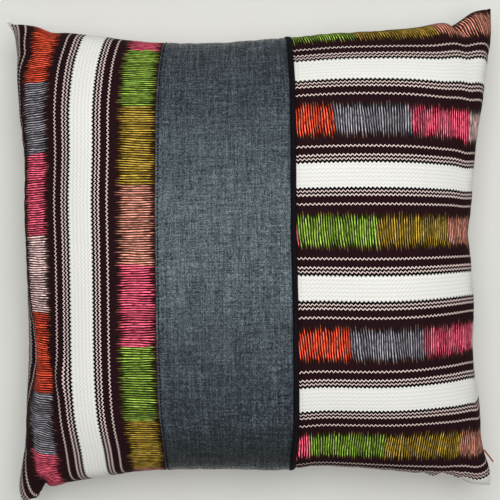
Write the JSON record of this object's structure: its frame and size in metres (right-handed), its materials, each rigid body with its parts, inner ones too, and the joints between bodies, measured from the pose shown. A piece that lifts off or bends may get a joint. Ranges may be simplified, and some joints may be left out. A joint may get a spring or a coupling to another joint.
{
  "type": "patchwork scatter cushion",
  "caption": "Square filled scatter cushion whose front is pieced from striped ikat cloth and plain slate cloth, with a black piping in one of its seams.",
  "frame": {"origin": "middle of the cushion's outline, on the surface that it rests on", "axes": "+Z out of the front face and up, as the cushion lies on its back; +Y along the stripes of the left-hand panel, towards the edge at the picture's top; +X towards the panel on the right"},
  "size_m": [0.4396, 0.4456, 0.1305],
  "materials": {
    "striped_cotton": "matte woven cotton with ribbed off-white bands, dashed pink and black lines and broad ikat bands in orange, grey, raspberry, green, mustard and salmon",
    "slate_linen": "matte plain weave in slate grey with darker and lighter slubs",
    "black_cotton": "matte black cotton, cut on the bias over a cord",
    "rust_yarn": "matte rust brown twisted yarn"
  },
  "bodies": {
    "root": {"filled_back": "striped_cotton", "left_striped_panel": "striped_cotton", "slate_panel": "slate_linen", "right_striped_panel": "striped_cotton", "piping": "black_cotton", "yarn_end": "rust_yarn"}
  },
  "joints": []
}
